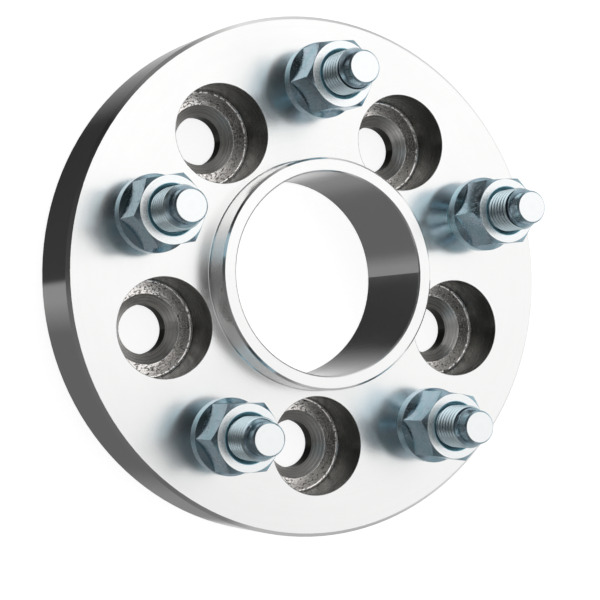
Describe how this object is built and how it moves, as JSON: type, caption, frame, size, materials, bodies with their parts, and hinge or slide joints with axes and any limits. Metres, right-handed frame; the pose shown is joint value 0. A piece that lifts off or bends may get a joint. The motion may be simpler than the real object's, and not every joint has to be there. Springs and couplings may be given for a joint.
{
  "type": "wheel spacer",
  "caption": "Hub-centric wheel spacer: a turned disc with a raised centring ring, stepped bolt pockets, and pressed studs with bulge nuts.",
  "frame": {"origin": "centre of the hub bore on the back face, which bolts to the car's hub", "axes": "+Z along the hub bore, out of the front face towards the wheel; +Y through the first stud; the part lies on its back face"},
  "size_m": [0.15, 0.15, 0.0563],
  "materials": {
    "turned_aluminium": "fine turned",
    "zinc_plated_studs": "blue-clear zinc plating",
    "zinc_plated_nuts": "blue-clear zinc plating"
  },
  "bodies": {
    "root": {"spacer_body": "turned_aluminium", "wheel_stud_1": "zinc_plated_studs", "wheel_stud_2": "zinc_plated_studs", "wheel_stud_3": "zinc_plated_studs", "wheel_stud_4": "zinc_plated_studs", "wheel_stud_5": "zinc_plated_studs", "wheel_nut_1": "zinc_plated_nuts", "wheel_nut_2": "zinc_plated_nuts", "wheel_nut_3": "zinc_plated_nuts", "wheel_nut_4": "zinc_plated_nuts", "wheel_nut_5": "zinc_plated_nuts"}
  },
  "joints": []
}
